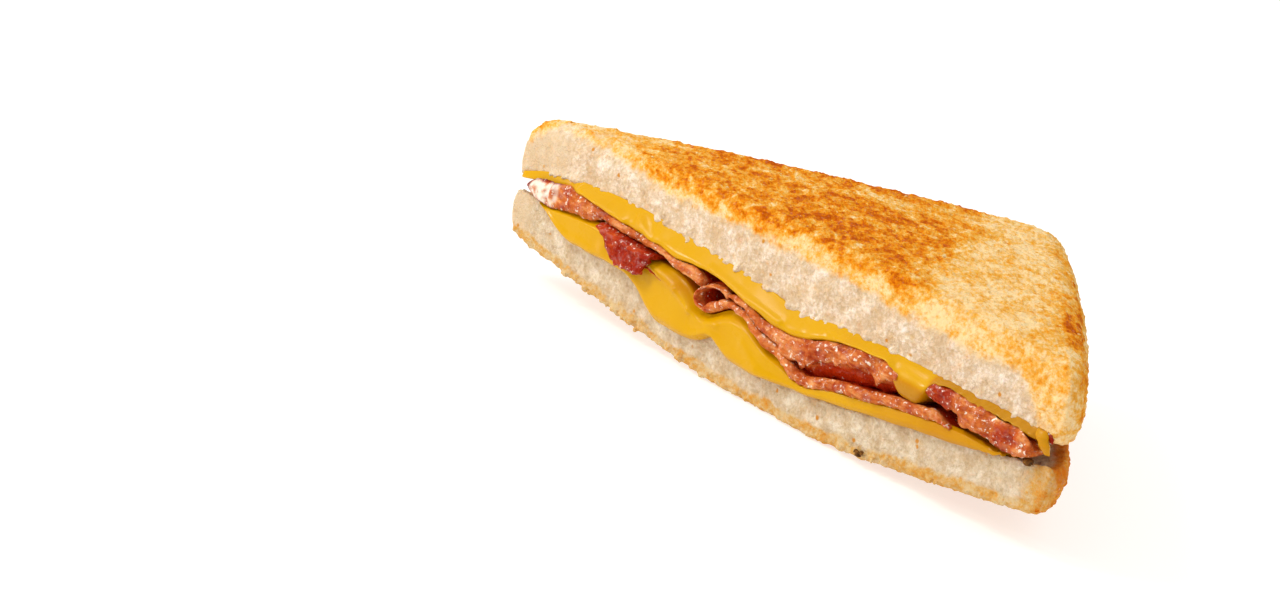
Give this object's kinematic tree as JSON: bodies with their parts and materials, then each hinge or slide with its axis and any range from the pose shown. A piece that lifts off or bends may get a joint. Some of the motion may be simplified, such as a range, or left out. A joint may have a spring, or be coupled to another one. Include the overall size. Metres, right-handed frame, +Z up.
{
  "type": "grilled cheese sandwich half",
  "caption": "Half of a toasted white bread sandwich, cut from corner to corner, with melted cheese and folded bacon showing at the cut. Lies flat on its lower slice.",
  "frame": {"origin": "middle of the base of the whole sandwich's bounding box, on the surface it rests on", "axes": "+X along the long cut, +Y from the cut towards the right-angled corner, +Z up through the slices; the cut face looks along -Y"},
  "size_m": [0.1542, 0.081, 0.0352],
  "materials": {
    "bread": "dry toasted white bread: golden to orange-brown faces, pale open crumb at the cut",
    "cheese": "smooth melted processed cheese, soft gloss",
    "bacon": "grilled cured bacon, moist, pink to dark red with pale fat"
  },
  "bodies": {
    "root": {"bread_bottom": "bread", "cheese_bottom": "cheese", "bacon_flap": "bacon", "bacon_long": "bacon", "bacon_left": "bacon", "bacon_upper": "bacon", "bacon_end": "bacon", "cheese_top": "cheese", "bread_top": "bread"}
  },
  "joints": []
}
